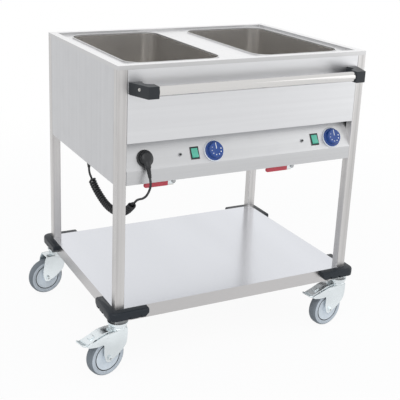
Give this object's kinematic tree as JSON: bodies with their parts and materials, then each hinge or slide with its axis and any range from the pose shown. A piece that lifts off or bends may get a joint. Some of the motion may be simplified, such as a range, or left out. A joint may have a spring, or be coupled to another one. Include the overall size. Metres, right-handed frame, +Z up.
{
  "type": "bain-marie trolley",
  "caption": "Stainless food-warming trolley with heated wells in its deck, a sloping control panel with thermostats, a push bar, a lower shelf, corner bumpers and swivel castors.",
  "frame": {"origin": "on the floor, midway between the four castor swivels", "axes": "+Z up, +X to the right along the push bar, -Y to the front, where the controls and push bar are"},
  "size_m": [0.9963, 0.723, 0.95],
  "materials": {
    "tube_steel": "fine brushed stainless tube",
    "deck_steel": "satin stainless sheet",
    "well_steel": "drawn stainless, satin inside",
    "panel_steel": "brushed stainless sheet",
    "shelf_steel": "brushed stainless sheet",
    "bar_steel": "brushed stainless tube",
    "heater_steel": "dark heating tube",
    "phenolic": "moulded resin",
    "knob_blue": "gloss moulded",
    "black_plastic": "moulded",
    "lens_green": "translucent lens",
    "nickel": "nickel plated",
    "black_rubber": "moulded rubber",
    "cord_black": "smooth sheath",
    "lever_red": "steel lever with a dipped red grip",
    "bracket_grey": "moulded dark grey",
    "screw_steel": "zinc plated",
    "bumper_grey": "moulded dark blue grey",
    "zinc_plate": "bright zinc plate",
    "hub_plastic": "light grey moulded",
    "tyre_grey": "grey rubber"
  },
  "bodies": {
    "frame": {"leg_front_left": "tube_steel", "leg_front_right": "tube_steel", "leg_rear_left": "tube_steel", "leg_rear_right": "tube_steel", "top_deck": "deck_steel", "well_left": "well_steel", "well_right": "well_steel", "side_panel_left": "panel_steel", "side_panel_right": "panel_steel", "front_panel": "panel_steel", "rear_panel": "panel_steel", "control_panel": "panel_steel", "bottom_cover": "panel_steel", "heating_element_left": "heater_steel", "heating_element_right": "heater_steel", "thermostat_left": "phenolic", "thermostat_right": "phenolic", "switch_bezel_left": "black_plastic", "switch_bezel_right": "black_plastic", "reset_bushes": "nickel", "plug_dock": "black_plastic", "plug": "black_rubber", "cable_gland": "black_rubber", "cord_lead": "cord_black", "cord_curls": "cord_black", "cord_tail": "cord_black", "drain_valve_left": "nickel", "drain_valve_right": "nickel", "push_bar": "bar_steel", "bar_bracket_left": "bracket_grey", "bar_bracket_right": "bracket_grey", "bracket_screws": "screw_steel", "lower_shelf": "shelf_steel", "bumper_front_left": "bumper_grey", "bumper_front_right": "bumper_grey", "bumper_rear_left": "bumper_grey", "bumper_rear_right": "bumper_grey", "castor_heads": "zinc_plate"},
    "castor_front_left": {"castor_fork_front_left": "zinc_plate"},
    "wheel_front_left": {"wheel_hub_front_left": "hub_plastic", "tyre_front_left": "tyre_grey"},
    "pedal_front_left": {"brake_pedal_front_left": "zinc_plate"},
    "castor_front_right": {"castor_fork_front_right": "zinc_plate"},
    "wheel_front_right": {"wheel_hub_front_right": "hub_plastic", "tyre_front_right": "tyre_grey"},
    "pedal_front_right": {"brake_pedal_front_right": "zinc_plate"},
    "castor_rear_left": {"castor_fork_rear_left": "zinc_plate"},
    "wheel_rear_left": {"wheel_hub_rear_left": "hub_plastic", "tyre_rear_left": "tyre_grey"},
    "castor_rear_right": {"castor_fork_rear_right": "zinc_plate"},
    "wheel_rear_right": {"wheel_hub_rear_right": "hub_plastic", "tyre_rear_right": "tyre_grey"},
    "knob_left": {"knob_left": "knob_blue"},
    "rocker_left": {"switch_rocker_left": "lens_green"},
    "reset_left": {"reset_button_left": "black_plastic"},
    "lever_left": {"valve_lever_left": "lever_red"},
    "knob_right": {"knob_right": "knob_blue"},
    "rocker_right": {"switch_rocker_right": "lens_green"},
    "reset_right": {"reset_button_right": "black_plastic"},
    "lever_right": {"valve_lever_right": "lever_red"}
  },
  "joints": [
    {"name": "castor_swivel_front_left", "type": "hinge", "parent": "frame", "child": "castor_front_left", "pos_m": [-0.4075, -0.295, 0.15], "axis": [0, 0, 1], "continuous": true},
    {"name": "wheel_spin_front_left", "type": "hinge", "parent": "castor_front_left", "child": "wheel_front_left", "pos_m": [-0.45213, -0.30613, 0.0625], "axis": [-0.2419, 0.9703, 0], "continuous": true},
    {"name": "brake_pedal_front_left", "type": "hinge", "parent": "castor_front_left", "child": "pedal_front_left", "pos_m": [-0.45796, -0.30758, 0.134], "axis": [0.2419, -0.9703, 0], "range_deg": [0, 10]},
    {"name": "castor_swivel_front_right", "type": "hinge", "parent": "frame", "child": "castor_front_right", "pos_m": [0.4075, -0.295, 0.15], "axis": [0, 0, 1], "continuous": true},
    {"name": "wheel_spin_front_right", "type": "hinge", "parent": "castor_front_right", "child": "wheel_front_right", "pos_m": [0.36201, -0.3018, 0.0625], "axis": [-0.1478, 0.989, 0], "continuous": true},
    {"name": "brake_pedal_front_right", "type": "hinge", "parent": "castor_front_right", "child": "pedal_front_right", "pos_m": [0.35607, -0.30269, 0.134], "axis": [0.1478, -0.989, 0], "range_deg": [0, 10]},
    {"name": "castor_swivel_rear_left", "type": "hinge", "parent": "frame", "child": "castor_rear_left", "pos_m": [-0.4075, 0.295, 0.15], "axis": [0, 0, 1], "continuous": true},
    {"name": "wheel_spin_rear_left", "type": "hinge", "parent": "castor_rear_left", "child": "wheel_rear_left", "pos_m": [-0.45305, 0.2886, 0.0625], "axis": [-0.1392, 0.9903, 0], "continuous": true},
    {"name": "castor_swivel_rear_right", "type": "hinge", "parent": "frame", "child": "castor_rear_right", "pos_m": [0.4075, 0.295, 0.15], "axis": [0, 0, 1], "continuous": true},
    {"name": "wheel_spin_rear_right", "type": "hinge", "parent": "castor_rear_right", "child": "wheel_rear_right", "pos_m": [0.36234, 0.28622, 0.0625], "axis": [-0.1908, 0.9816, 0], "continuous": true},
    {"name": "knob_turn_left", "type": "hinge", "parent": "frame", "child": "knob_left", "pos_m": [-0.102, -0.29396, 0.67124], "axis": [0, 0.8894, -0.4571], "range_deg": [0, 270]},
    {"name": "switch_rock_left", "type": "hinge", "parent": "frame", "child": "rocker_left", "pos_m": [-0.167, -0.29129, 0.66987], "axis": [1, 0, 0], "range_deg": [0, 16]},
    {"name": "reset_press_left", "type": "slide", "parent": "frame", "child": "reset_left", "axis": [0, 0.8894, -0.4571], "range_m": [0, 0.002], "stiffness_N_per_m": 400},
    {"name": "drain_lever_left", "type": "hinge", "parent": "frame", "child": "lever_left", "pos_m": [-0.2135, -0.2255, 0.576], "axis": [0, -1, 0], "range_deg": [0, 90]},
    {"name": "knob_turn_right", "type": "hinge", "parent": "frame", "child": "knob_right", "pos_m": [0.328, -0.29396, 0.67124], "axis": [0, 0.8894, -0.4571], "range_deg": [0, 270]},
    {"name": "switch_rock_right", "type": "hinge", "parent": "frame", "child": "rocker_right", "pos_m": [0.263, -0.29129, 0.66987], "axis": [1, 0, 0], "range_deg": [0, 16]},
    {"name": "reset_press_right", "type": "slide", "parent": "frame", "child": "reset_right", "axis": [0, 0.8894, -0.4571], "range_m": [0, 0.002], "stiffness_N_per_m": 400},
    {"name": "drain_lever_right", "type": "hinge", "parent": "frame", "child": "lever_right", "pos_m": [0.2135, -0.2255, 0.576], "axis": [0, -1, 0], "range_deg": [0, 90]}
  ]
}
